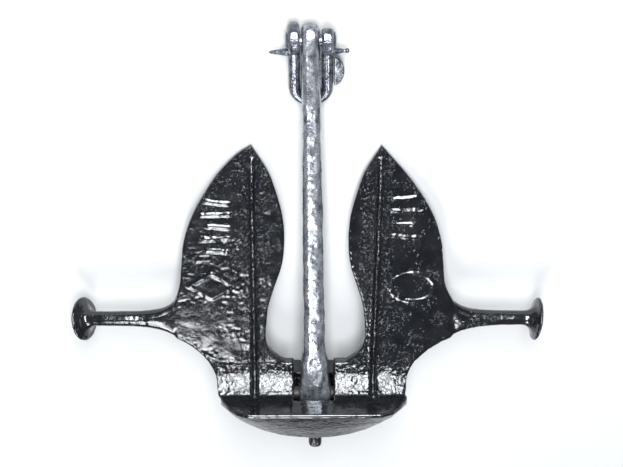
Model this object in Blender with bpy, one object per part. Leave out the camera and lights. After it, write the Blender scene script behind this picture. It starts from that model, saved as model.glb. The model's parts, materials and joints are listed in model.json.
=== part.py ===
"""A fluke anchor whose shank swings in the crown, lying at rest on a floor.

The casting (flukes, stock, crown and palms) and the shank are each drawn in an upright frame whose origin is on
the crown pin: X along the stock to the right, Z towards the points, and the upper side of the resting anchor at -Y.
The shackle is drawn in a frame of its own on its bolt. Two empties and one more on the bolt then lay them down.
All sizes are in millimetres, and MM turns them into metres when a mesh is made.
"""

import math

import bmesh
import bpy
from mathutils import Matrix, Vector

MM = 0.001
GAP = 0.3
LEFT, RIGHT = -1, 1
UPPER, LOWER = -1, 1
SIDES = {"left": LEFT, "right": RIGHT}
FACES = {"upper": UPPER, "lower": LOWER}

# Flukes: flat blades, thick at the crown and thin at the point.
TIP_X, TIP_Z, POINT_BLUNTING = 73.7, 321.5, 1.5
FLUKE_FOOT_Z = 45.8
FLUKE_ROOT_THICKNESS, FLUKE_TIP_THICKNESS = 14.0, 7.0
ARM_ROOT_X = 165.0
INNER_EDGE = [(37.5, FLUKE_FOOT_Z), (48, 54), (56.5, 67.5), (58.8, 86), (55.5, 120), (47, 149), (39.5, 174)]
INNER_EDGE += [(36.7, 205), (38.6, 232), (43.8, 256), (54.5, 289), (TIP_X, TIP_Z)]
ARM_ROOT_TOP_Z = 125.2
UNDER_EDGE = [(ARM_ROOT_X, 78.5), (149.5, 69.6), (135, 58), (124.4, FLUKE_FOOT_Z)]

# The casting isn't quite symmetrical: the left blade and the left side of the crown are fuller than the right.
LEFT_OUTER_EDGE = [(90.5, 310), (109.5, 290), (127.5, 263), (142.5, 234), (152.3, 204), (156, 172), (158.5, 147)]
RIGHT_OUTER_EDGE = [(87, 306), (101, 290), (121, 263), (137, 234), (146.8, 204), (150.7, 172), (154, 147)]
OUTER_EDGE = {LEFT: LEFT_OUTER_EDGE, RIGHT: RIGHT_OUTER_EDGE}
ARCH_SHIFT = 1.5
CROWN_TRIM = {LEFT: -2.0, RIGHT: 2.6}

# Stock: a round bar that spreads into the fluke, with a disc on its end.
STOCK_Z = 102.0
STOCK_REACH = {LEFT: 277.5, RIGHT: 268.0}
STOCK_RADIUS = 9.0
ARM_SPREAD, ARM_SPREAD_LENGTH = 14.2, {UPPER: 13.0, LOWER: 18.5}
HEAD_LENGTH, HEAD_RADIUS, HEAD_RIM = 19.0, 26.3, 5.5
HEAD_TURN = {LEFT: -24.0, RIGHT: 3.0}
HEAD_LEAN = {LEFT: -13.0, RIGHT: 8.0}

# Crown: two cheeks beside the slot, with a palm across each face.
SLOT_HALF_WIDTH, SLOT_HALF_DEPTH, SLOT_FLOOR_Z = 23.6, 33.8, -26.0
CHEEK_HALF_DEPTH, CHEEK_TOP_Z, SCOOP_SLANT = 23.0, 45.5, 0.3
CHEEK_SIDE = [(103, -4.5), (108.5, 0), (112, 7), (114, 14), (115.3, 25), (118.6, 35.5), (124.2, CHEEK_TOP_Z)]
BELLY_RISE_Z, BELLY_DROP, BELLY_HALF_WIDTH, BELLY_POWER = 6.0, 55.6, 108.0, 0.57
PALM_TOP_Z, PALM_EDGE_THICKNESS, PALM_REACH = 9.3, 5.0, 68.5
PALM_STRAIGHT_X, PALM_HALF_WIDTH, PALM_END_REACH = 76.0, 112.0, 28.0
PALM_KEEL, PALM_CORNER_POWER = 25.0, 0.82
RIB_THICKNESS, RIB_HEIGHT, RIB_FOOT_X, RIB_END_Z = 4.6, 5.0, 70.7, 306.0
CROWN_PIN_RADIUS, CROWN_PIN_HALF_LENGTH, PLUG_END_X = 8.0, 88.0, 104.5
PEG_X, PEG_END_Z, PEG_HALF_WIDTH, PEG_HALF_DEPTH = 2.9, -75.0, 8.2, 7.0

# Shank: a round foot on the crown pin, and a bar that thins towards its eye.
FOOT_RADIUS = 17.6
EYE_Z, SHANK_END_Z = 458.5, 476.5
SHANK_HALF_DEPTH = 14.5
SHANK_LEAN, SHANK_SHIFT, PIVOT_CLEARANCE = -1.4, 2.0, 1.0

# Shackle: Z down the legs from the bolt, and its eyes either side of the shank.
BAR_RADIUS, LEG_X, LEG_START_Z, LEG_LENGTH = 6.7, 18.1, 4.3, 63.7
EYE_RADIUS, EYE_THICKNESS, EYE_INNER_X = {LEFT: 17.8, RIGHT: 17.0}, 13.0, 11.7
SHACKLE_SHIFT = 0.3

# The eyes are forged unevenly: on the side at this slant the left one grows, and the right one is flattened.
EYE_SLANT, EYE_GROWTH, EYE_FLAT_REACH = math.radians(45), {LEFT: 2.5, RIGHT: 0.0}, 10.8
BOLT_RADIUS, BOLT_HEAD_RADIUS, BOLT_HEAD_HEIGHT = 7.0, 10.0, 2.6
LOCK_PIN_Z, LOCK_PIN_RADIUS, LOCK_PIN_DEPTH = 15.0, 3.4, 6.0
LUG_Z, LUG_HALF_LENGTH, LUG_WIDTH, LUG_THICKNESS = 40.5, 19.5, 11.5, 5.0

# Hidden sizes that follow from the ones above.
BOW_Z = LEG_LENGTH + LEG_X
FOLD = math.asin((SHANK_HALF_DEPTH + BAR_RADIUS + GAP) / BOW_Z)


def fluke_half_thickness(z):
    """Half the blade's thickness, which falls evenly from the crown to the point."""
    along = min(max((z - FLUKE_FOOT_Z) / (TIP_Z - FLUKE_FOOT_Z), 0.0), 1.0)
    return 0.5 * (FLUKE_ROOT_THICKNESS + (FLUKE_TIP_THICKNESS - FLUKE_ROOT_THICKNESS) * along)


def cheek_half_depth(z):
    """Half the crown's depth above the palms: a scoop that leaves the blade at a slant and steepens downwards."""
    top = fluke_half_thickness(CHEEK_TOP_Z)
    below = (CHEEK_TOP_Z - max(z, PALM_TOP_Z)) / (CHEEK_TOP_Z - PALM_TOP_Z)
    return top + (CHEEK_HALF_DEPTH - top) * (SCOOP_SLANT * below + (1 - SCOOP_SLANT) * below**3)


def belly_z(x):
    """Height of the crown's rounded underside."""
    across = min(abs(x) / BELLY_HALF_WIDTH, 0.98)
    return BELLY_RISE_Z - BELLY_DROP * (1 - across * across) ** BELLY_POWER


def palm_reach(x):
    """How far a palm stands out at x: straight in front, with rounded corners."""
    past = max(abs(x) - PALM_STRAIGHT_X, 0.0) / (PALM_HALF_WIDTH - PALM_STRAIGHT_X)
    return PALM_END_REACH + (PALM_REACH - PALM_END_REACH) * max(1 - past * past, 0.0) ** PALM_CORNER_POWER


def clear_scene():
    for old in list(bpy.data.objects):
        bpy.data.objects.remove(old, do_unlink=True)


def make_material(name, colour, roughness, metallic):
    material = bpy.data.materials.new(name)
    material.use_nodes = True
    shader = material.node_tree.nodes["Principled BSDF"]
    shader.inputs["Base Color"].default_value = (*colour, 1.0)
    shader.inputs["Roughness"].default_value = roughness
    shader.inputs["Metallic"].default_value = metallic
    return material


def make_empty(name, parent=None, location=(0, 0, 0), turn=0.0, lean=0.0):
    """An empty that leans sideways about its own Y, then turns about X."""
    empty = bpy.data.objects.new(name, None)
    bpy.context.scene.collection.objects.link(empty)
    empty.parent = parent
    empty.location = Vector(location) * MM
    empty.rotation_mode = "ZYX"
    empty.rotation_euler = (turn, lean, 0)
    return empty


def make_object(name, shape, parent, material=None):
    """Turns a bmesh in millimetres into an object in metres."""
    bmesh.ops.recalc_face_normals(shape, faces=shape.faces)
    bmesh.ops.scale(shape, vec=(MM, MM, MM), verts=shape.verts)
    mesh = bpy.data.meshes.new(name)
    shape.to_mesh(mesh)
    shape.free()
    mesh.shade_smooth()
    mesh.set_sharp_from_angle(angle=math.radians(32))
    made = bpy.data.objects.new(name, mesh)
    bpy.context.scene.collection.objects.link(made)
    made.parent = parent
    if material:
        mesh.materials.append(material)
    return made


def loft(sections):
    """A closed solid through rings of points, each with the same number of points."""
    shape = bmesh.new()
    rings = [[shape.verts.new(point) for point in section] for section in sections]
    for lower, upper in zip(rings, rings[1:]):
        for i in range(len(lower)):
            j = (i + 1) % len(lower)
            shape.faces.new((lower[i], lower[j], upper[j], upper[i]))
    shape.faces.new(reversed(rings[0]))
    shape.faces.new(rings[-1])
    return shape


def turned(profile, steps=32):
    """A solid turned round X from (x, radius) points, closed on the axis at both ends."""
    shape = bmesh.new()
    line = [shape.verts.new((x, 0, radius)) for x, radius in profile]
    edges = [shape.edges.new(pair) for pair in zip(line, line[1:])]
    bmesh.ops.spin(
        shape, geom=line + edges, cent=(0, 0, 0), axis=(1, 0, 0), angle=2 * math.pi, steps=steps, use_merge=True
    )
    bmesh.ops.remove_doubles(shape, verts=shape.verts, dist=0.001)
    return shape


def smooth_line(points, steps=5):
    """A smooth line through the points (Catmull-Rom), with its ends kept."""
    padded = [points[0], *points, points[-1]]
    line = []
    for before, start, end, after in zip(padded, padded[1:], padded[2:], padded[3:]):
        for i in range(steps):
            t = i / steps
            weights = (-t + 2 * t**2 - t**3, 2 - 5 * t**2 + 3 * t**3, t + 4 * t**2 - 3 * t**3, t**3 - t**2)
            corners = (before, start, end, after)
            line.append(tuple(0.5 * sum(w * c[axis] for w, c in zip(weights, corners)) for axis in (0, 1)))
    line.append(points[-1])
    return line


def rounded_section(half_width, half_depth, squareness, count=20):
    """(x, y) points of a cross-section between an ellipse (squareness 2) and a rectangle (large squareness)."""
    points = []
    for i in range(count):
        angle = 2 * math.pi * (i + 0.5) / count
        cosine, sine = math.cos(angle), math.sin(angle)
        size = (abs(cosine) ** squareness + abs(sine) ** squareness) ** (-1 / squareness)
        points.append((half_width * size * cosine, half_depth * size * sine))
    return points


def prism(outline, low, high, place):
    """Extrudes an outline of (a, b) points from low to high; place(a, b, c) gives each point its place."""
    return loft([[place(a, b, c) for a, b in outline] for c in (low, high)])


def cut(target, cutter_shape, name):
    """Cuts a hidden shape out of a piece."""
    cutter = make_object(f"{target.name}_{name}_cutter", cutter_shape, target.parent)
    cutter.hide_render = True
    cutter.display_type = "WIRE"
    modifier = target.modifiers.new(name, "BOOLEAN")
    modifier.operation = "DIFFERENCE"
    modifier.solver = "EXACT"
    modifier.object = cutter


def soften(target, width, segments=2, angle=35):
    """Rounds off the sharp edges of a casting."""
    bevel = target.modifiers.new("soften", "BEVEL")
    bevel.width = width * MM
    bevel.segments = segments
    bevel.limit_method = "ANGLE"
    bevel.angle_limit = math.radians(angle)
    bevel.use_clamp_overlap = True


def make_fluke(name, side, parent, material):
    inner = []
    for x, z in INNER_EDGE:
        up = (z - FLUKE_FOOT_Z) / (TIP_Z - FLUKE_FOOT_Z)
        inner.append((x + side * ARCH_SHIFT * (1 - up**4), z))
    outer = [(TIP_X, TIP_Z), *OUTER_EDGE[side], (ARM_ROOT_X, ARM_ROOT_TOP_Z)]
    last = len(UNDER_EDGE) - 1
    under = [(x - CROWN_TRIM[side] * i / last, z) for i, (x, z) in enumerate(UNDER_EDGE)]
    edge = smooth_line(inner, 4)[:-1] + smooth_line(outer, 4) + smooth_line(under, 3)
    faces = [[(side * x, face * fluke_half_thickness(z), z) for x, z in edge] for face in (UPPER, LOWER)]
    fluke = make_object(name, loft(faces), parent, material)
    soften(fluke, 2.2)


def make_arm(name, side, parent, material):
    """The arm narrows and rounds out from the blade's edge; its last section turns with the head."""
    end = STOCK_REACH[side] - HEAD_LENGTH - GAP
    turn = head_turn(side)
    sections = []
    stations = [ARM_ROOT_X + GAP, 170, 176, 184, 194, 206, 222, end - 12, end]
    for x in stations:
        above, below = (math.exp((ARM_ROOT_X - x) / ARM_SPREAD_LENGTH[face]) for face in (UPPER, LOWER))
        half_depth = STOCK_RADIUS + (fluke_half_thickness(STOCK_Z) - STOCK_RADIUS) * above
        ring = []
        for z, y in rounded_section(1, half_depth, 2 + 3 * above):
            ring.append(Vector((0, y, z * (STOCK_RADIUS + ARM_SPREAD * (above if z > 0 else below)))))
        bend = turn if x == end else Matrix.Identity(3)
        sections.append([Vector((side * x, 0, STOCK_Z)) + bend @ point for point in ring])
    make_object(name, loft(sections), parent, material)


def head_turn(side):
    """How the casting's end disc sits off square: turned towards the upper side, and leaning."""
    turn = Matrix.Rotation(math.radians(HEAD_TURN[side]), 3, "Z")
    return turn @ Matrix.Rotation(math.radians(HEAD_LEAN[side]), 3, "Y")


def make_head(name, side, parent, material):
    flare = HEAD_LENGTH - HEAD_RIM
    profile = [(0, 0)]
    for i in range(9):
        angle = 0.5 * math.pi * i / 8
        profile.append((flare * math.sin(angle), STOCK_RADIUS + (HEAD_RADIUS - 4) * 0.62 * (1 - math.cos(angle))))
    profile += [(flare + 0.2, HEAD_RADIUS - 2.2), (flare + 2, HEAD_RADIUS), (HEAD_LENGTH - 2, HEAD_RADIUS)]
    profile += [(HEAD_LENGTH, HEAD_RADIUS - 3), (HEAD_LENGTH, 0)]
    shape = turned(profile, 36)
    bmesh.ops.scale(shape, vec=(side, 1, 1), verts=shape.verts)
    head = make_object(name, shape, parent, material)
    place = Matrix.Translation(Vector((side * (STOCK_REACH[side] - HEAD_LENGTH), 0, STOCK_Z)) * MM)
    head.matrix_local = place @ head_turn(side).to_4x4()


def make_cheek(name, side, parent, material):
    side_line = [(x - CROWN_TRIM[side], z) for x, z in CHEEK_SIDE]
    belly_end = side_line[0][0]
    outline = []
    seam = 0.5 * GAP
    for i in range(13):
        x = seam + (belly_end - seam) * math.sin(0.5 * math.pi * i / 12)
        outline.append((x, belly_z(x)))
    outline += smooth_line(side_line, 3)[1:]
    outline += [(SLOT_HALF_WIDTH, CHEEK_TOP_Z), (SLOT_HALF_WIDTH, SLOT_FLOOR_Z), (seam, SLOT_FLOOR_Z)]
    solid = prism(outline, -CHEEK_HALF_DEPTH, CHEEK_HALF_DEPTH, lambda x, z, y: (side * x, y, z))
    cheek = make_object(name, solid, parent, material)
    rise = CHEEK_TOP_Z - PALM_TOP_Z
    for face_name, face in FACES.items():
        curve = [(cheek_half_depth(PALM_TOP_Z + rise * i / 8), PALM_TOP_Z + rise * i / 8) for i in range(9)]
        waste = [*curve, (curve[-1][0], CHEEK_TOP_Z + 20), (40, CHEEK_TOP_Z + 20), (40, PALM_TOP_Z)]
        scoop = prism(waste, 0, 200, lambda y, z, x, face=face: (side * x, face * y, z))
        cut(cheek, scoop, f"{face_name}_scoop")
    hole = [(0, 0), (0, CROWN_PIN_RADIUS + GAP), (200, CROWN_PIN_RADIUS + GAP), (200, 0)]
    bore = turned(hole, 28)
    bmesh.ops.scale(bore, vec=(side, 1, 1), verts=bore.verts)
    cut(cheek, bore, "pin_hole")


def make_palm(name, face, parent, material):
    inner = CHEEK_HALF_DEPTH + GAP
    count = 17
    sections = []
    for i in range(count):
        x = PALM_HALF_WIDTH * math.sin(math.pi * (i / (count - 1) - 0.5))
        reach = palm_reach(x)
        under, keel = PALM_TOP_Z - PALM_EDGE_THICKNESS, min(belly_z(x), 2.0)
        middle = (0.5 * (PALM_KEEL + reach), 0.5 * (keel + under) - 2.0)
        outline = [(inner, PALM_TOP_Z), (reach, PALM_TOP_Z), (reach, under), middle, (PALM_KEEL, keel), (inner, keel)]
        sections.append([(x, face * y, z) for y, z in outline])
    palm = make_object(name, loft(sections), parent, material)
    slot = [(0, SLOT_FLOOR_Z), (SLOT_HALF_DEPTH, SLOT_FLOOR_Z), (SLOT_HALF_DEPTH, 60), (0, 60)]
    opening = prism(slot, -SLOT_HALF_WIDTH, SLOT_HALF_WIDTH, lambda y, z, x: (x, face * y, z))
    cut(palm, opening, "shank_slot")


def make_rib(name, side, face, parent, material):
    """A thin ridge from near the point, down the blade and the crown's scoop, to the palm."""
    foot, end = PALM_TOP_Z + GAP, RIB_END_Z
    levels = [foot + (CHEEK_TOP_Z - foot) * i / 8 for i in range(9)] + [FLUKE_FOOT_Z, end]
    base = []
    for z in levels:
        surface = cheek_half_depth(z) if z <= CHEEK_TOP_Z else fluke_half_thickness(z)
        base.append((surface + GAP, z))
    rise = RIB_HEIGHT - GAP
    crest = [(base[-1][0] + 0.6, end), (fluke_half_thickness(end - 30) + rise, end - 30)]
    crest += [(fluke_half_thickness(CHEEK_TOP_Z) + rise + 0.6, CHEEK_TOP_Z)]
    crest += [(cheek_half_depth(z) + rise, z) for z in (28, 18, foot)]
    lean = (TIP_X - RIB_FOOT_X) / (TIP_Z - PALM_TOP_Z)

    def place(y, z, x):
        return (side * (RIB_FOOT_X + lean * (z - PALM_TOP_Z) + x), face * y, z)

    solid = prism(base + crest, -0.5 * RIB_THICKNESS, 0.5 * RIB_THICKNESS, place)
    make_object(name, solid, parent, material)


def make_crown_pin(name, parent, material):
    length, radius = CROWN_PIN_HALF_LENGTH, CROWN_PIN_RADIUS
    profile = [(-length, 0), (-length, radius - 1), (1 - length, radius)]
    profile += [(-x, r) for x, r in reversed(profile)]
    make_object(name, turned(profile, 28), parent, material)


def make_plug(name, side, parent, material):
    start, end, radius = CROWN_PIN_HALF_LENGTH + GAP, PLUG_END_X - CROWN_TRIM[side], CROWN_PIN_RADIUS
    shape = turned([(start, 0), (start, radius), (end - 1.5, radius), (end, radius - 2.5), (end, 0)], 28)
    bmesh.ops.scale(shape, vec=(side, 1, 1), verts=shape.verts)
    make_object(name, shape, parent, material)


def make_peg(name, parent, material):
    """A short stub under the middle of the crown, with a rounded end."""
    root = belly_z(0) - GAP
    sizes = [(PEG_END_Z, 0.62), (PEG_END_Z + 1.2, 0.86), (PEG_END_Z + 3.6, 1.0), (root - 5, 1.02), (root, 1.25)]
    rings = []
    for z, share in sizes:
        ring = rounded_section(PEG_HALF_WIDTH * share, PEG_HALF_DEPTH * share, 3)
        rings.append([(PEG_X + x, y, z) for x, y in ring])
    make_object(name, loft(rings), parent, material)


def make_shank(name, parent, material):
    """Each cross-section has a height, a half width, a half depth and a squareness."""
    sections = []
    for z in (-17.2, -16, -13.5, -9.5, -5):
        sections.append((z, 19.8, math.sqrt(FOOT_RADIUS**2 - z * z), 7))
    sections += [(0, 19.8, FOOT_RADIUS, 7), (9, 20.3, 16.6, 7), (13, 19.6, 16, 6), (19, 18.3, 15.7, 5.5)]
    sections += [(32, 17.2, 15.4, 5), (52, 16.2, 15, 5), (60, 14.2, 14.8, 4.5), (68, 13.2, 14.6, 4)]
    sections += [(200, 12.4, 14.5, 4), (330, 11.4, 14.5, 4), (430, 10.5, 14.5, 4), (EYE_Z, 10.2, 14.5, 4)]
    for below_end, half_width, half_depth, squareness in ((10.5, 10.1, 13.9, 4), (4.6, 9.4, 12.2, 3.5)):
        sections.append((SHANK_END_Z - below_end, half_width, half_depth, squareness))
    sections += [(SHANK_END_Z - 1.4, 7.8, 9.5, 3), (SHANK_END_Z, 4.5, 5.4, 2.5)]
    rings = [[(x, y, z) for x, y in rounded_section(w, d, p)] for z, w, d, p in sections]
    shank = make_object(name, loft(rings), parent, material)
    holes = (("eye", EYE_Z, BOLT_RADIUS + GAP), ("pivot", 0, CROWN_PIN_RADIUS + PIVOT_CLEARANCE))
    for hole_name, z, radius in holes:
        hole = turned([(-40, 0), (-40, radius), (40, radius), (40, 0)], 28)
        bmesh.ops.translate(hole, vec=(0, 0, z), verts=hole.verts)
        cut(shank, hole, hole_name)


def shackle_route():
    """Centre line of the bar: down one leg, round the bow and up the other leg."""
    route = [Vector((-LEG_X, 0, z)) for z in (LEG_START_Z, 0.5 * LEG_LENGTH)]
    for i in range(13):
        angle = math.pi * i / 12
        route.append(Vector((-LEG_X * math.cos(angle), 0, LEG_LENGTH + LEG_X * math.sin(angle))))
    route += [Vector((LEG_X, 0, z)) for z in (0.5 * LEG_LENGTH, LEG_START_Z)]
    return route


def from_slant(x, along, across):
    """A point given along and across the eyes' slant, in the shackle's own frame."""
    cosine, sine = math.cos(EYE_SLANT), math.sin(EYE_SLANT)
    return (x, along * sine + across * cosine, along * cosine - across * sine)


def make_shackle(name, parent, material):
    route = shackle_route()
    rings = []
    for i, point in enumerate(route):
        ahead = (route[min(i + 1, len(route) - 1)] - route[max(i - 1, 0)]).normalized()
        outward = Vector((0, 1, 0)).cross(ahead)
        ring = []
        for step in range(14):
            angle = 2 * math.pi * step / 14
            ring.append(point + BAR_RADIUS * (math.cos(angle) * outward + math.sin(angle) * Vector((0, 1, 0))))
        rings.append(ring)
    shackle = make_object(name, loft(rings), parent, material)
    shackle.location.x = SHACKLE_SHIFT * MM
    outer = EYE_INNER_X + EYE_THICKNESS
    for side_name, side in SIDES.items():
        radius, growth = EYE_RADIUS[side], EYE_GROWTH[side]
        rim = [(EYE_INNER_X, 0), (EYE_INNER_X, radius - 2), (EYE_INNER_X + 2, radius)]
        rim += [(outer - 3, radius), (outer, radius - 3.5), (outer, 0)]
        eye_shape = turned(rim, 32)
        bmesh.ops.scale(eye_shape, vec=(side, 1, 1), verts=eye_shape.verts)
        bmesh.ops.translate(eye_shape, vec=from_slant(0, -growth, 0), verts=eye_shape.verts)
        eye = make_object(f"{name}_{side_name}_eye_guide", eye_shape, parent)
        eye.location.x = SHACKLE_SHIFT * MM
        eye.hide_render = True
        eye.display_type = "WIRE"
        join = shackle.modifiers.new(f"{side_name}_eye", "BOOLEAN")
        join.operation = "UNION"
        join.solver = "EXACT"
        join.object = eye
    bore = turned([(-60, 0), (-60, BOLT_RADIUS + GAP), (60, BOLT_RADIUS + GAP), (60, 0)], 28)
    cut(shackle, bore, "bolt_hole")
    flat = -EYE_FLAT_REACH
    crop = [(0, flat - 0.5), (outer - 4, flat), (60, flat + 6), (60, -40), (0, -40)]
    cut(shackle, prism(crop, -30, 30, from_slant), "right_eye_flat")
    for side_name, side in SIDES.items():
        start = outer - LOCK_PIN_DEPTH - GAP
        socket = turned([(start, 0), (start, LOCK_PIN_RADIUS + GAP), (60, LOCK_PIN_RADIUS + GAP), (60, 0)], 16)
        bmesh.ops.scale(socket, vec=(side, 1, 1), verts=socket.verts)
        bmesh.ops.translate(socket, vec=(SHACKLE_SHIFT, 0, LOCK_PIN_Z), verts=socket.verts)
        cut(shackle, socket, f"{side_name}_lock_hole")


def make_bolt(name, parent, material):
    """A plain round bolt, riveted over at both ends."""
    face = EYE_INNER_X + EYE_THICKNESS + GAP
    end = [(face + BOLT_HEAD_HEIGHT, 0), (face + BOLT_HEAD_HEIGHT, BOLT_HEAD_RADIUS - 4.5)]
    end += [(face + 0.6 * BOLT_HEAD_HEIGHT, BOLT_HEAD_RADIUS - 1.2), (face, BOLT_HEAD_RADIUS), (face, BOLT_RADIUS)]
    profile = [(-x, r) for x, r in end] + list(reversed(end))
    bolt = make_object(name, turned(profile, 28), parent, material)
    bolt.location.x = SHACKLE_SHIFT * MM


def make_lock_pin(name, side, parent, material):
    """Left: tapers to a blunt point. Right: narrows to a neck, then swells to a small knob."""
    face = EYE_INNER_X + EYE_THICKNESS
    profile = [(face - LOCK_PIN_DEPTH, 0), (face - LOCK_PIN_DEPTH, LOCK_PIN_RADIUS), (face + GAP, LOCK_PIN_RADIUS)]
    if side == LEFT:
        profile += [(face + GAP, 4.6), (face + 4, 4.0), (face + 10, 2.9), (face + 17, 2.1), (face + 19.6, 1.2)]
        profile += [(face + 20.3, 0)]
    else:
        profile += [(face + GAP, 4.2), (face + 5, 3.2), (face + 11, 2.1), (face + 12.6, 2.2), (face + 14, 2.9)]
        profile += [(face + 15.6, 2.7), (face + 16.8, 1.3), (face + 17, 0)]
    shape = turned(profile, 16)
    bmesh.ops.scale(shape, vec=(side, 1, 1), verts=shape.verts)
    pin = make_object(name, shape, parent, material)
    pin.location = Vector((SHACKLE_SHIFT, 0, LOCK_PIN_Z)) * MM


def make_lug(name, parent, material):
    """A flat D with a raised rim, its straight side against the right leg."""
    start = LEG_X + BAR_RADIUS + GAP
    outline = []
    for i in range(17):
        angle = math.pi * i / 16
        outline.append((start + LUG_WIDTH * math.sin(angle), LUG_Z - LUG_HALF_LENGTH * math.cos(angle)))
    half = 0.5 * LUG_THICKNESS
    shape = prism(outline, -half, half, lambda x, z, y: (x, y, z))
    flats = [face for face in shape.faces if len(face.verts) > 4]
    bmesh.ops.inset_region(shape, faces=flats, thickness=2.6, depth=0)
    bmesh.ops.inset_region(shape, faces=flats, thickness=0.7, depth=-1.2)
    lug = make_object(name, shape, parent, material)
    lug.location.x = SHACKLE_SHIFT * MM


def lie_down():
    """(tilt of the flukes, tilt of the shank, height of the crown pin) with the anchor lying on a floor.

    The lower palm's edge and both points carry the flukes. The bow of the folded shackle carries the shank.
    """
    tip_depth = fluke_half_thickness(TIP_Z)
    flukes = math.atan2(PALM_REACH - tip_depth, TIP_Z - POINT_BLUNTING - PALM_TOP_Z)
    height = PALM_REACH * math.cos(flukes) + PALM_TOP_Z * math.sin(flukes)
    along = EYE_Z - BOW_Z * math.cos(FOLD)
    across = BOW_Z * math.sin(FOLD)
    shank = math.asin((height - BAR_RADIUS) / math.hypot(along, across)) - math.atan2(across, along)
    return flukes, shank, height


def centre_on_floor(root):
    """Moves everything so that the middle of its footprint is the origin and its lowest point is at Z = 0."""
    bpy.context.view_layer.update()
    graph = bpy.context.evaluated_depsgraph_get()
    corners = []
    for solid in bpy.data.objects:
        if solid.type != "MESH" or solid.hide_render:
            continue
        evaluated = solid.evaluated_get(graph)
        corners += [evaluated.matrix_world @ vertex.co for vertex in evaluated.data.vertices]
    low = [min(corner[axis] for corner in corners) for axis in range(3)]
    high = [max(corner[axis] for corner in corners) for axis in range(3)]
    root.location -= Vector((0.5 * (low[0] + high[0]), 0.5 * (low[1] + high[1]), low[2]))


def main():
    clear_scene()
    paint = make_material("black_paint", (0.014, 0.015, 0.018), 0.26, 0.0)
    worn = make_material("worn_shank", (0.12, 0.125, 0.135), 0.38, 0.55)
    steel = make_material("shackle_steel", (0.09, 0.1, 0.115), 0.3, 0.6)
    hidden = make_material("pin_steel", (0.25, 0.25, 0.26), 0.4, 1.0)

    flukes_tilt, shank_tilt, height = lie_down()
    root = make_empty("anchor", location=(0, 0, height))
    flukes = make_empty("flukes_frame", root, turn=-0.5 * math.pi - flukes_tilt)
    shank_place, shank_turn = (SHANK_SHIFT, 0, 0), -0.5 * math.pi - shank_tilt
    shank = make_empty("shank_frame", root, shank_place, shank_turn, math.radians(SHANK_LEAN))
    shackle = make_empty("shackle_frame", shank, location=(0, 0, EYE_Z), turn=FOLD - math.pi)

    for side_name, side in SIDES.items():
        make_fluke(f"fluke_{side_name}", side, flukes, paint)
        make_arm(f"stock_arm_{side_name}", side, flukes, paint)
        make_head(f"stock_head_{side_name}", side, flukes, paint)
        make_cheek(f"crown_cheek_{side_name}", side, flukes, paint)
        make_plug(f"crown_pin_plug_{side_name}", side, flukes, paint)
        for face_name, face in FACES.items():
            make_rib(f"rib_{side_name}_{face_name}", side, face, flukes, paint)
    for face_name, face in FACES.items():
        make_palm(f"trip_palm_{face_name}", face, flukes, paint)
    make_peg("crown_peg", flukes, paint)
    make_crown_pin("crown_pin", flukes, hidden)
    make_shank("shank", shank, worn)
    make_shackle("shackle", shackle, steel)
    make_bolt("shackle_bolt", shackle, steel)
    for side_name, side in SIDES.items():
        make_lock_pin(f"lock_pin_{side_name}", side, shackle, steel)
    make_lug("shackle_lug", shackle, steel)
    centre_on_floor(root)


main()
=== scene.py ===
"""Looks of the fluke anchor: a glossy casting and worn forgings round the model, a studio and a camera."""

import json
import math

import bpy
import bmesh
from mathutils import Matrix, Vector, noise

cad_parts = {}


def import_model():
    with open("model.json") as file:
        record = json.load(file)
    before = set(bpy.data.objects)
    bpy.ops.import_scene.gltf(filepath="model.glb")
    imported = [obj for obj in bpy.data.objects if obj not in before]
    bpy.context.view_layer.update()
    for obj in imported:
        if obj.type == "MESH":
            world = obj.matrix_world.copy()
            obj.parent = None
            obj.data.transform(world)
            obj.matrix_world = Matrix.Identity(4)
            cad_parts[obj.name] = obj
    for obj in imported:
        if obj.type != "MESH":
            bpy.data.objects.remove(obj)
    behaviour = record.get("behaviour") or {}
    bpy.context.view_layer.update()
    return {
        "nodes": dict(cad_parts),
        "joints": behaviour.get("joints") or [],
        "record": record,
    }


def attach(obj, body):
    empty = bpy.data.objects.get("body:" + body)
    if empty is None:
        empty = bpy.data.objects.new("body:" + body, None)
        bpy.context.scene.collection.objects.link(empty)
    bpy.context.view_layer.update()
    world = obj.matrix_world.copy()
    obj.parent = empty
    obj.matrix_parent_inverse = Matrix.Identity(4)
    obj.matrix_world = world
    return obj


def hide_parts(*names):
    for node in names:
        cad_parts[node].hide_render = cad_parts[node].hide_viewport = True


MM = 0.001

# Camera: its turn about the flukes' own frame, its distance from the aim point and the lens.
VIEW_TURN, VIEW_RISE, VIEW_ROLL = 1.85, 25.0, -0.7
VIEW_DISTANCE, AIM_ABOVE_CROWN = 1.752, 0.1752
LENS_MM, SHIFT_X, SHIFT_Y = 86.7, -0.0055, 0.0459

# Studio: the main light leans from overhead towards the points. The two windows put highlights on the black
# casting, the strips light the stock's heads, and the world fills in a little.
# Each light: name, direction from the anchor, distance, width and height in metres, watts, colour.
MAIN_LIGHT_TILT = math.radians(36.0)
SOFT_WHITE, WINDOW_WHITE, STRIP_WHITE = (0.93, 0.965, 1.0), (0.96, 0.98, 1.0), (1.0, 1.0, 1.0)
MAIN_DIRECTION = (0, math.sin(MAIN_LIGHT_TILT), math.cos(MAIN_LIGHT_TILT))
LIGHTS = [
    ("main_softbox", MAIN_DIRECTION, 2.3, 0.74, 2.2, 140, SOFT_WHITE),
    ("key_window", (-0.145, -0.475, 1.0), 2.13, 0.38, 0.5, 12.5, WINDOW_WHITE),
    ("far_window", (-0.1, -0.9, 1.0), 1.95, 0.5, 0.5, 15, WINDOW_WHITE),
    ("left_strip", (-0.85, 0.1, 0.5), 1.9, 1.2, 0.3, 2, STRIP_WHITE),
    ("right_strip", (0.85, 0.1, 0.5), 1.9, 1.2, 0.3, 2, STRIP_WHITE),
]
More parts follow.
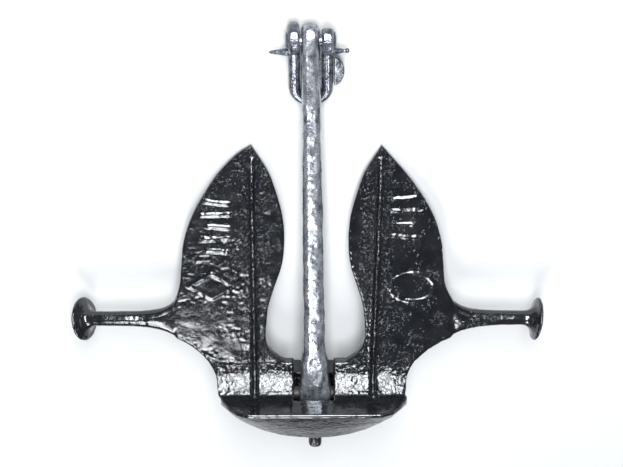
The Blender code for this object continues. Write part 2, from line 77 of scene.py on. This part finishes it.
WORLD_COLOUR, WORLD_STRENGTH = (0.95, 0.97, 1.0, 1), 0.12
FLOOR_SIZE, FLOOR_GAP = 6.0, 0.4 * MM

# Surface detail: voxel size, smoothing rounds, and the height of the undulation and of the fine roughness.
# Each node's copy is swollen by GAP_FILL before the fusing, and the skin is moved back by it afterwards.
GAP_FILL, MERGE_DISTANCE, ROUNDING = 0.22 * MM, 0.01 * MM, 0.5
CASTING_DETAIL = {"voxel": 1.45 * MM, "rounds": 4, "wave": 0.3 * MM, "grain": 0.34 * MM}
SHANK_DETAIL = {"voxel": 1.25 * MM, "rounds": 3, "wave": 0.75 * MM, "grain": 0.2 * MM}
SHACKLE_DETAIL = {"voxel": 0.8 * MM, "rounds": 4, "wave": 0.35 * MM, "grain": 0.16 * MM}
SMALL_DETAIL = {"voxel": 0.45 * MM, "rounds": 3, "wave": 0.18 * MM, "grain": 0.07 * MM}
WAVE_SIZE, GRAIN_SIZE, PATCH_SIZE = 17.0 * MM, 4.0 * MM, 26.0 * MM
# Shift of the noise for each step of the seed, so that no two pieces look alike.
SEED_SHIFT = (1.37, 0.71, 2.13)
# Noise values that leave the surface where it is, and how the grain's patches are cut from their noise.
WAVE_MIDDLE, GRAIN_MIDDLE = 0.5, 0.3
PATCH_GAIN, PATCH_SHARE, LEAST_PATCH = 3.0, 0.3, 0.05
# How deep the shackle's bar is hammered flat, and how narrow the flat is.
SHACKLE_FLATTEN, FLAT_POWER = 1.3 * MM, 3

# Raised marks on the upper face of each blade, in the crown's frame: x along the stock, z towards the points.
# A mark is a rod sunk until MARK_RELIEF of it stands out, and MARK_UNEVEN puts its centre line out of true,
# half as much in depth, over lengths of about MARK_WANDER.
BAR_RADIUS, BAR_POINTS, ROD_RESOLUTION = 3.6 * MM, 8, 3
MARK_RELIEF, MARK_UNEVEN, MARK_WANDER, DEPTH_SHARE = 1.35 * MM, 1.1 * MM, 5 * MM, 0.5
# The blade's half thickness falls from its foot to its point: (z, half thickness).
BLADE_FOOT, BLADE_POINT = (0.0458, 0.0070), (0.3215, 0.0035)
# Each bar: x and z of its middle, its length, and its slant in degrees.
BARS = [
    (-0.113, 0.252, 0.028, -6),
    (-0.115, 0.237, 0.034, 3),
    (-0.112, 0.222, 0.028, -3),
    (-0.115, 0.207, 0.034, 4),
    (-0.113, 0.192, 0.026, -4),
    (0.103, 0.257, 0.028, 5),
    (0.106, 0.241, 0.036, -3),
    (0.103, 0.225, 0.028, 3),
    (0.107, 0.209, 0.036, -5),
]
LOZENGE_CENTRE, LOZENGE_HALF = (-0.121, 0.147), (0.026, 0.016)
OVAL_CENTRE, OVAL_HALF, OVAL_POINTS = (0.115, 0.145), (0.026, 0.018), 28
# noise_vector takes its seed from the clock unless it is given one.
MARK_SEED = 1

# Beads along the crest of each rib on the upper side: (z, height of the crest over the blade's middle plane).
RIB_CREST = [
    (0.010, 0.0277),
    (0.018, 0.0203),
    (0.028, 0.0153),
    (0.0455, 0.0123),
    (0.276, 0.0088),
    (0.306, 0.0046),
]
RIB_X, RIB_LEAN = 0.0707, 0.0096
BEAD_STEP, BEAD_RADIUS, BEAD_SINK = 5.0 * MM, 2.7 * MM, 1.2 * MM
# What the noise changes: a share of a bead's radius and of the step to the next, and its place sideways and up.
BEAD_NOISE, BEAD_NOISE_SCALE = (7.3, 1.7), 330
RADIUS_SPREAD, STEP_SPREAD = 0.35, 0.5
SIDE_SPREAD, LIFT_SPREAD = 1.2 * MM, 0.5 * MM

# Zones of the black paint, by z in the crown's frame, and by x for the rib's middle and the distance from it.
# Each zone fades in from its first number to its second.
BELLY_ZONE, BELLY_PITS_ZONE = (3 * MM, -3 * MM), (2 * MM, -6 * MM)
SCOOP_FOOT_ZONE, SCOOP_TOP_ZONE, DULL_ZONE = (9 * MM, 12 * MM), (62 * MM, 36 * MM), (12 * MM, 4 * MM)
RIB_CENTRE, BESIDE_RIB_ZONE = 72 * MM, (22 * MM, 6 * MM)


# ---------------------------------------------------------------- frame helpers


def crown_frame(frame):
    """World matrix of the flukes: X along the stock, Y down through the blades, Z towards the points."""
    hinge = next(joint for joint in frame["joints"] if joint["name"] == "crown_hinge")
    rest = next(mount for mount in frame["record"]["mounts"] if mount["name"] == "palm_rest")
    down = Vector(rest["axis"]).normalized()
    along = Vector((1, 0, 0))
    points = along.cross(down)
    matrix = Matrix((along, down, points)).transposed().to_4x4()
    matrix.translation = Vector(hinge["pos_m"])
    return matrix


def shackle_up(frame):
    """The way up across the shackle's bar, square to its hinge and to its legs."""
    hinge = next(joint for joint in frame["joints"] if joint["name"] == "shackle_hinge")
    bow = next(mount for mount in frame["record"]["mounts"] if mount["name"] == "shackle_bow")
    return Vector(bow["axis"]).cross(Vector(hinge["axis"])).normalized()


# ---------------------------------------------------------------- mesh work


def merged_copy(nodes):
    """One mesh that holds copies of the named nodes, each swollen a little so that their seams close."""
    joined = bmesh.new()
    for name in nodes:
        one = bmesh.new()
        one.from_mesh(bpy.data.objects[name].data)
        bmesh.ops.remove_doubles(one, verts=one.verts, dist=MERGE_DISTANCE)
        one.normal_update()
        moves = [vertex.normal * GAP_FILL for vertex in one.verts]
        for vertex, move in zip(one.verts, moves):
            vertex.co += move
        mesh = bpy.data.meshes.new("swollen")
        one.to_mesh(mesh)
        one.free()
        joined.from_mesh(mesh)
        bpy.data.meshes.remove(mesh)
    return joined


def evaluated_mesh(obj):
    """The object's mesh with its modifiers applied."""
    graph = bpy.context.evaluated_depsgraph_get()
    return bpy.data.meshes.new_from_object(obj.evaluated_get(graph))


def remeshed(name, shape, voxel, rounds):
    """Fuses a bmesh into one skin of even small faces and rounds its corners."""
    mesh = bpy.data.meshes.new(name)
    shape.to_mesh(mesh)
    shape.free()
    obj = bpy.data.objects.new(name, mesh)
    bpy.context.scene.collection.objects.link(obj)
    remesh = obj.modifiers.new("fuse", "REMESH")
    remesh.mode = "VOXEL"
    remesh.voxel_size = voxel
    smooth = obj.modifiers.new("round", "SMOOTH")
    smooth.factor = ROUNDING
    smooth.iterations = rounds
    fused = evaluated_mesh(obj)
    obj.modifiers.clear()
    obj.data = fused
    bpy.data.meshes.remove(mesh)
    fused.name = name
    return obj


def roughen(obj, wave, grain, seed, flatten=0.0, up=None):
    """Moves each point along its normal: a slow undulation, a patchy grain, and back by the swelling.

    A round bar is also flattened on the side that faces up, as if hammered.
    """
    mesh = obj.data
    offset = Vector([seed * shift for shift in SEED_SHIFT])
    normals = [Vector(normal.vector) for normal in mesh.vertex_normals]
    for vertex, normal in zip(mesh.vertices, normals):
        place = Vector(vertex.co)
        slow = noise.noise(place / WAVE_SIZE + offset)
        patch = noise.noise(place / PATCH_SIZE + 2 * offset) * PATCH_GAIN + PATCH_SHARE
        patch = min(max(patch, LEAST_PATCH), 1.0)
        fine = noise.noise(place / GRAIN_SIZE - offset)
        lift = wave * (slow - WAVE_MIDDLE) + grain * patch * (fine - GRAIN_MIDDLE) - GAP_FILL
        if flatten:
            lift -= flatten * max(normal.dot(up), 0.0) ** FLAT_POWER
        vertex.co = place + normal * lift
    mesh.shade_smooth()


def detailed_piece(name, nodes, body, slot, material, detail, seed, extra=(), flatten=0.0, up=None):
    """A rough skin round the named nodes and the extra meshes, which takes the nodes' place on their body."""
    shape = merged_copy(nodes)
    for mesh in extra:
        shape.from_mesh(mesh)
    piece = remeshed(name, shape, detail["voxel"], detail["rounds"])
    roughen(piece, detail["wave"], detail["grain"], seed, flatten, up)
    piece.data.materials.clear()
    piece.data.materials.append(material)
    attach(piece, body)
    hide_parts(*nodes)


def rod_mesh(points, radius, closed):
    """A round rod through the points, as a mesh."""
    curve = bpy.data.curves.new("rod", "CURVE")
    curve.dimensions = "3D"
    curve.bevel_depth = radius
    curve.bevel_resolution = ROD_RESOLUTION
    curve.use_fill_caps = True
    spline = curve.splines.new("POLY")
    spline.points.add(len(points) - 1)
    for place, point in zip(spline.points, points):
        place.co = (*point, 1)
    spline.use_cyclic_u = closed
    obj = bpy.data.objects.new("rod", curve)
    bpy.context.scene.collection.objects.link(obj)
    bpy.context.view_layer.update()
    mesh = evaluated_mesh(obj)
    bpy.data.objects.remove(obj)
    return mesh


def raised_marks(crown):
    """Plain bars, a lozenge and an oval, half sunk in the upper faces of the blades."""
    noise.seed_set(MARK_SEED)
    meshes = []

    def on_blade(x, z):
        """The world place of a point of a mark's centre line, a little out of true."""
        (low, thick), (high, thin) = BLADE_FOOT, BLADE_POINT
        face = thick + (thin - thick) * (z - low) / (high - low)
        uneven = noise.noise_vector(Vector((x, z, 0)) / MARK_WANDER) * MARK_UNEVEN
        depth = BAR_RADIUS - MARK_RELIEF - face - DEPTH_SHARE * uneven.y
        return crown @ Vector((x + uneven.x, depth, z + uneven.z))

    steps = [-1 + 2 * step / (BAR_POINTS - 1) for step in range(BAR_POINTS)]
    for x, z, length, slant in BARS:
        half_x = 0.5 * length * math.cos(math.radians(slant))
        half_z = 0.5 * length * math.sin(math.radians(slant))
        line = [on_blade(x + step * half_x, z + step * half_z) for step in steps]
        meshes.append(rod_mesh(line, BAR_RADIUS, closed=False))
    (x, z), (half_x, half_z) = LOZENGE_CENTRE, LOZENGE_HALF
    ways = ((1, 0), (0, 1), (-1, 0), (0, -1))
    corners = [on_blade(x + way_x * half_x, z + way_z * half_z) for way_x, way_z in ways]
    meshes.append(rod_mesh(corners, BAR_RADIUS, closed=True))
    (x, z), (half_x, half_z) = OVAL_CENTRE, OVAL_HALF
    angles = [2 * math.pi * step / OVAL_POINTS for step in range(OVAL_POINTS)]
    ring = [on_blade(x + half_x * math.cos(angle), z + half_z * math.sin(angle)) for angle in angles]
    meshes.append(rod_mesh(ring, BAR_RADIUS, closed=True))
    return meshes


def rib_beads(crown):
    """Small uneven lumps along the crests of the two upper ribs."""
    beads = bmesh.new()
    height = RIB_CREST[0][0]
    while height < RIB_CREST[-1][0]:
        spans = zip(RIB_CREST, RIB_CREST[1:])
        (low, near), (high, far) = next(span for span in spans if height <= span[1][0])
        crest = near + (far - near) * (height - low) / (high - low)
        for side in (-1, 1):
            uneven = noise.noise(Vector((side * BEAD_NOISE[0], height * BEAD_NOISE_SCALE, BEAD_NOISE[1])))
            radius = BEAD_RADIUS * (1 + RADIUS_SPREAD * uneven)
            x = side * (RIB_X + RIB_LEAN * height) + SIDE_SPREAD * uneven
            depth = BEAD_SINK - crest - LIFT_SPREAD * uneven
            place = Matrix.Translation(crown @ Vector((x, depth, height)))
            bmesh.ops.create_icosphere(beads, subdivisions=2, radius=radius, matrix=place)
        height += BEAD_STEP * (1 + STEP_SPREAD * uneven)
    mesh = bpy.data.meshes.new("rib_beads")
    beads.to_mesh(mesh)
    beads.free()
    return mesh


# ---------------------------------------------------------------- materials


class Nodes:
    """Short names for building a node material."""

    # A Mix node has a socket of each name for every data type, so its colour sockets go by number.
    MIX_A, MIX_B, MIX_RESULT = 6, 7, 2

    def __init__(self, name):
        self.material = bpy.data.materials.new(name)
        self.material.use_nodes = True
        self.tree = self.material.node_tree
        self.shader = self.tree.nodes["Principled BSDF"]
        self.place = self.tree.nodes.new("ShaderNodeTexCoord").outputs["Object"]

    def link(self, source, target):
        self.tree.links.new(source, target)

    def noise(self, size, detail, roughness=0.55, stretch=(1, 1, 1)):
        """Noise whose features are about `size` metres across."""
        mapping = self.tree.nodes.new("ShaderNodeMapping")
        mapping.inputs["Scale"].default_value = stretch
        self.link(self.place, mapping.inputs["Vector"])
        texture = self.tree.nodes.new("ShaderNodeTexNoise")
        texture.inputs["Scale"].default_value = 1 / size
        texture.inputs["Detail"].default_value = detail
        texture.inputs["Roughness"].default_value = roughness
        self.link(mapping.outputs["Vector"], texture.inputs["Vector"])
        return texture.outputs["Fac"]

    def ranged(self, value, low, high, to_low=0.0, to_high=1.0):
        """The value with low to high stretched over to_low to to_high, and clamped there."""
        node = self.tree.nodes.new("ShaderNodeMapRange")
        self.link(value, node.inputs["Value"])
        node.inputs["From Min"].default_value = low
        node.inputs["From Max"].default_value = high
        node.inputs["To Min"].default_value = to_low
        node.inputs["To Max"].default_value = to_high
        return node.outputs["Result"]

    def math(self, operation, *values):
        """A Math node; each value is a number or another node's output."""
        node = self.tree.nodes.new("ShaderNodeMath")
        node.operation = operation
        for value, socket in zip(values, node.inputs):
            if isinstance(value, float):
                socket.default_value = value
            else:
                self.link(value, socket)
        return node.outputs["Value"]

    def times(self, first, second):
        return self.math("MULTIPLY", first, second)

    def greater(self, first, second):
        return self.math("MAXIMUM", first, second)

    def beside(self, distance, centre):
        """How far a distance is from +centre or -centre, whichever is nearer."""
        return self.math("ABSOLUTE", self.math("SUBTRACT", self.math("ABSOLUTE", distance), centre))

    def mix(self, factor, first, second):
        """Between two colours, by the factor; each is a colour or another mix."""
        node = self.tree.nodes.new("ShaderNodeMix")
        node.data_type = "RGBA"
        self.link(factor, node.inputs["Factor"])
        for index, colour in ((self.MIX_A, first), (self.MIX_B, second)):
            if isinstance(colour, tuple):
                node.inputs[index].default_value = (*colour, 1)
            else:
                self.link(colour, node.inputs[index])
        return node.outputs[self.MIX_RESULT]

    def along(self, axis, origin):
        """Distance in metres from the origin along an axis."""
        away = self.tree.nodes.new("ShaderNodeVectorMath")
        away.operation = "SUBTRACT"
        away.inputs[1].default_value = origin
        self.link(self.place, away.inputs[0])
        dot = self.tree.nodes.new("ShaderNodeVectorMath")
        dot.operation = "DOT_PRODUCT"
        dot.inputs[1].default_value = axis
        self.link(away.outputs["Vector"], dot.inputs[0])
        return dot.outputs["Value"]

    def bump(self, height, distance, strength, normal=None):
        """A normal tilted by the height, which is `distance` metres at 1, on top of another normal."""
        node = self.tree.nodes.new("ShaderNodeBump")
        node.inputs["Distance"].default_value = distance
        node.inputs["Strength"].default_value = strength
        self.link(height, node.inputs["Height"])
        if normal:
            self.link(normal, node.inputs["Normal"])
        return node.outputs["Normal"]

    def edges(self, low, high):
        """1 on sharp outer edges, 0 on flats; low and high are readings of Pointiness, 0.5 on a flat."""
        geometry = self.tree.nodes.new("ShaderNodeNewGeometry")
        return self.ranged(geometry.outputs["Pointiness"], low, high)

    def finish(self, colour, roughness, normal, metallic=0.0, coat=0.0, coat_roughness=0.1):
        """Joins the parts to the shader and returns the material."""
        self.link(colour, self.shader.inputs["Base Color"])
        self.link(roughness, self.shader.inputs["Roughness"])
        self.link(normal, self.shader.inputs["Normal"])
        self.shader.inputs["Metallic"].default_value = metallic
        self.shader.inputs["Coat Weight"].default_value = coat
        self.shader.inputs["Coat Roughness"].default_value = coat_roughness
        return self.material


def black_paint(crown):
    """Thick glossy black paint on a rough casting, browned at the edges, with spots of rust."""
    n = Nodes("black_paint_look")
    patches = n.ranged(n.noise(34 * MM, 4), 0.4, 0.66)
    colour = n.mix(patches, (0.0035, 0.004, 0.006), (0.0085, 0.0085, 0.0105))
    worn_edge = n.times(n.edges(0.53, 0.64), n.ranged(n.noise(9 * MM, 4), 0.45, 0.65))
    colour = n.mix(worn_edge, colour, (0.05, 0.03, 0.022))
    rusty_areas = n.ranged(n.noise(30 * MM, 2), 0.56, 0.62)
    specks = n.times(n.ranged(n.noise(2.4 * MM, 2), 0.7, 0.75), rusty_areas)
    colour = n.mix(specks, colour, (0.16, 0.055, 0.02))

    origin, axes = crown.translation, crown.to_3x3()
    sideways, height = n.along(axes.col[0], origin), n.along(axes.col[2], origin)
    belly = n.ranged(height, *BELLY_ZONE)
    scoop = n.times(n.ranged(height, *SCOOP_FOOT_ZONE), n.ranged(height, *SCOOP_TOP_ZONE))
    beside_rib = n.ranged(n.beside(sideways, RIB_CENTRE), *BESIDE_RIB_ZONE)

    roughness = n.ranged(n.noise(11 * MM, 4), 0.35, 0.7, 0.1, 0.22)
    roughness = n.greater(roughness, n.ranged(height, *DULL_ZONE, 0, 0.26))

    # Lumps come in clusters on the blades, all along the ribs and all over the belly.
    blobs = n.ranged(n.noise(3.2 * MM, 2, 0.5), 0.54, 0.72)
    clusters = n.ranged(n.noise(20 * MM, 3, 0.6), 0.52, 0.64)
    near_ribs = n.times(beside_rib, n.ranged(n.noise(9 * MM, 3, 0.6), 0.42, 0.58))
    clusters = n.greater(n.greater(clusters, near_ribs), belly)
    pitted = n.greater(scoop, n.ranged(height, *BELLY_PITS_ZONE, 0.0, 1.5))

    normal = n.bump(n.noise(13 * MM, 3, 0.5), 0.8 * MM, 0.5)
    normal = n.bump(n.times(n.noise(6.5 * MM, 2, 0.45), pitted), 1.9 * MM, 0.9, normal)
    normal = n.bump(n.times(blobs, clusters), 1.4 * MM, 1.0, normal)
    normal = n.bump(n.noise(1.5 * MM, 3, 0.6), 0.08 * MM, 0.4, normal)
    return n.finish(colour, roughness, normal, coat=0.3, coat_roughness=0.06)


def worn_shank_metal():
    """Silvery grey forging: thin paint left in its hollows, bare on its high spots."""
    n = Nodes("worn_shank_look")
    hollows = n.ranged(n.noise(9 * MM, 5, 0.65, stretch=(1.5, 0.5, 1)), 0.38, 0.6)
    colour = n.mix(hollows, (0.07, 0.075, 0.09), (0.38, 0.395, 0.43))
    flecks = n.ranged(n.noise(2.2 * MM, 3, 0.6), 0.44, 0.68)
    colour = n.mix(flecks, colour, (0.2, 0.21, 0.235))
    roughness = n.ranged(n.noise(4 * MM, 3), 0.35, 0.7, 0.2, 0.38)
    normal = n.bump(n.noise(9 * MM, 2, 0.4), 1.6 * MM, 0.8)
    normal = n.bump(n.noise(1.8 * MM, 3, 0.6), 0.14 * MM, 0.6, normal)
    return n.finish(colour, roughness, normal, metallic=0.7, coat=0.6, coat_roughness=0.14)


def shackle_metal():
    """Bluish grey painted steel with hammer marks."""
    n = Nodes("shackle_look")
    patches = n.ranged(n.noise(8 * MM, 4), 0.38, 0.64)
    colour = n.mix(patches, (0.022, 0.026, 0.036), (0.1, 0.11, 0.135))
    rusty_areas = n.ranged(n.noise(15 * MM, 2), 0.5, 0.6)
    rust = n.times(n.ranged(n.noise(5 * MM, 3), 0.6, 0.7), rusty_areas)
    colour = n.mix(rust, colour, (0.16, 0.1, 0.07))
    roughness = n.ranged(n.noise(5 * MM, 3), 0.35, 0.7, 0.15, 0.34)
    normal = n.bump(n.noise(5.5 * MM, 2, 0.5), 1.3 * MM, 0.8)
    normal = n.bump(n.noise(1.3 * MM, 3, 0.6), 0.12 * MM, 0.6, normal)
    return n.finish(colour, roughness, normal, metallic=0.4, coat=0.7, coat_roughness=0.1)


def pin_metal():
    """Steel with fine turning marks round its length, almost covered by oil and paint."""
    n = Nodes("pin_look")
    marks = n.noise(1.2 * MM, 2, 0.5, stretch=(1, 0.05, 0.05))
    patches = n.ranged(n.noise(6 * MM, 3), 0.4, 0.65)
    colour = n.mix(patches, (0.02, 0.02, 0.022), (0.06, 0.05, 0.042))
    roughness = n.ranged(marks, 0.3, 0.7, 0.4, 0.6)
    return n.finish(colour, roughness, n.bump(marks, 0.15 * MM, 0.6), metallic=0.4)


def pale_floor():
    """Matt paper, hardly mottled."""
    n = Nodes("pale_floor_look")
    mottling = n.ranged(n.noise(250 * MM, 3), 0.3, 0.7)
    colour = n.mix(mottling, (0.46, 0.46, 0.46), (0.48, 0.48, 0.48))
    roughness = n.ranged(n.noise(40 * MM, 3), 0.3, 0.7, 0.75, 0.9)
    return n.finish(colour, roughness, n.bump(n.noise(3 * MM, 2), 0.1 * MM, 0.2))


# ---------------------------------------------------------------- studio


def make_floor():
    bpy.ops.mesh.primitive_plane_add(size=FLOOR_SIZE, location=(0, 0, -FLOOR_GAP))
    floor = bpy.context.object
    floor.name = "floor"
    floor.data.materials.append(pale_floor())


def softbox(name, direction, distance, width, height, power, colour):
    """A soft rectangular light that faces the anchor from a direction."""
    light = bpy.data.lights.new(name, "AREA")
    light.shape = "RECTANGLE"
    light.size = width
    light.size_y = height
    light.energy = power
    light.color = colour
    obj = bpy.data.objects.new(name, light)
    bpy.context.scene.collection.objects.link(obj)
    towards = Vector(direction).normalized()
    obj.location = towards * distance
    obj.rotation_euler = towards.to_track_quat("Z", "Y").to_euler()


def make_lights():
    for light in LIGHTS:
        softbox(*light)
    world = bpy.data.worlds.new("studio")
    world.use_nodes = True
    background = world.node_tree.nodes["Background"]
    background.inputs["Color"].default_value = WORLD_COLOUR
    background.inputs["Strength"].default_value = WORLD_STRENGTH
    bpy.context.scene.world = world
    bpy.context.scene.view_settings.view_transform = "Standard"


def make_camera(crown):
    roll = Matrix.Rotation(math.radians(VIEW_ROLL), 3, "Z")
    rise = Matrix.Rotation(math.radians(VIEW_RISE), 3, "X")
    turn = roll @ rise @ Matrix.Rotation(math.radians(VIEW_TURN), 3, "Y")
    # The rows of `turn` are the view's right, up and back. Its columns run along the stock, to the points and
    # out of the upper face.
    to_crown = Matrix(((1, 0, 0), (0, 0, -1), (0, 1, 0)))
    axes = crown.to_3x3() @ to_crown @ turn.transposed()
    camera_data = bpy.data.cameras.new("camera")
    camera_data.lens = LENS_MM
    camera_data.shift_x = SHIFT_X
    camera_data.shift_y = SHIFT_Y
    camera = bpy.data.objects.new("camera", camera_data)
    bpy.context.scene.collection.objects.link(camera)
    aim = crown @ Vector((0, 0, AIM_ABOVE_CROWN))
    camera.matrix_world = Matrix.Translation(aim + axes.col[2] * VIEW_DISTANCE) @ axes.to_4x4()
    bpy.context.scene.camera = camera


# ---------------------------------------------------------------- assembly


def main():
    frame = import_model()
    bodies = frame["record"]["behaviour"]["bodies"]
    crown = crown_frame(frame)

    make_camera(crown)
    make_lights()
    make_floor()

    # Each call: name, nodes that it replaces, body, slot, material, detail, seed of its noise.
    paint, worn, steel = black_paint(crown), worn_shank_metal(), shackle_metal()
    casting = [name for name in bodies["flukes"] if name != "crown_pin"]
    details = [*raised_marks(crown), rib_beads(crown)]
    detailed_piece("anchor_casting", casting, "flukes", "black_paint", paint, CASTING_DETAIL, 1, details)
    detailed_piece("shank_forging", ["shank"], "shank", "worn_shank", worn, SHANK_DETAIL, 2)
    on_shackle = ("shackle", "shackle_steel", steel)
    hammered = {"flatten": SHACKLE_FLATTEN, "up": shackle_up(frame)}
    detailed_piece("shackle_bow", ["shackle"], *on_shackle, SHACKLE_DETAIL, 3, **hammered)
    detailed_piece("bolt", ["shackle_bolt"], *on_shackle, SMALL_DETAIL, 4)
    detailed_piece("left_lock_pin", ["lock_pin_left"], *on_shackle, SMALL_DETAIL, 5)
    detailed_piece("right_lock_pin", ["lock_pin_right"], *on_shackle, SMALL_DETAIL, 6)
    detailed_piece("side_lug", ["shackle_lug"], *on_shackle, SMALL_DETAIL, 7)
    pin = frame["nodes"]["crown_pin"]
    pin.data.materials.clear()
    pin.data.materials.append(pin_metal())


main()
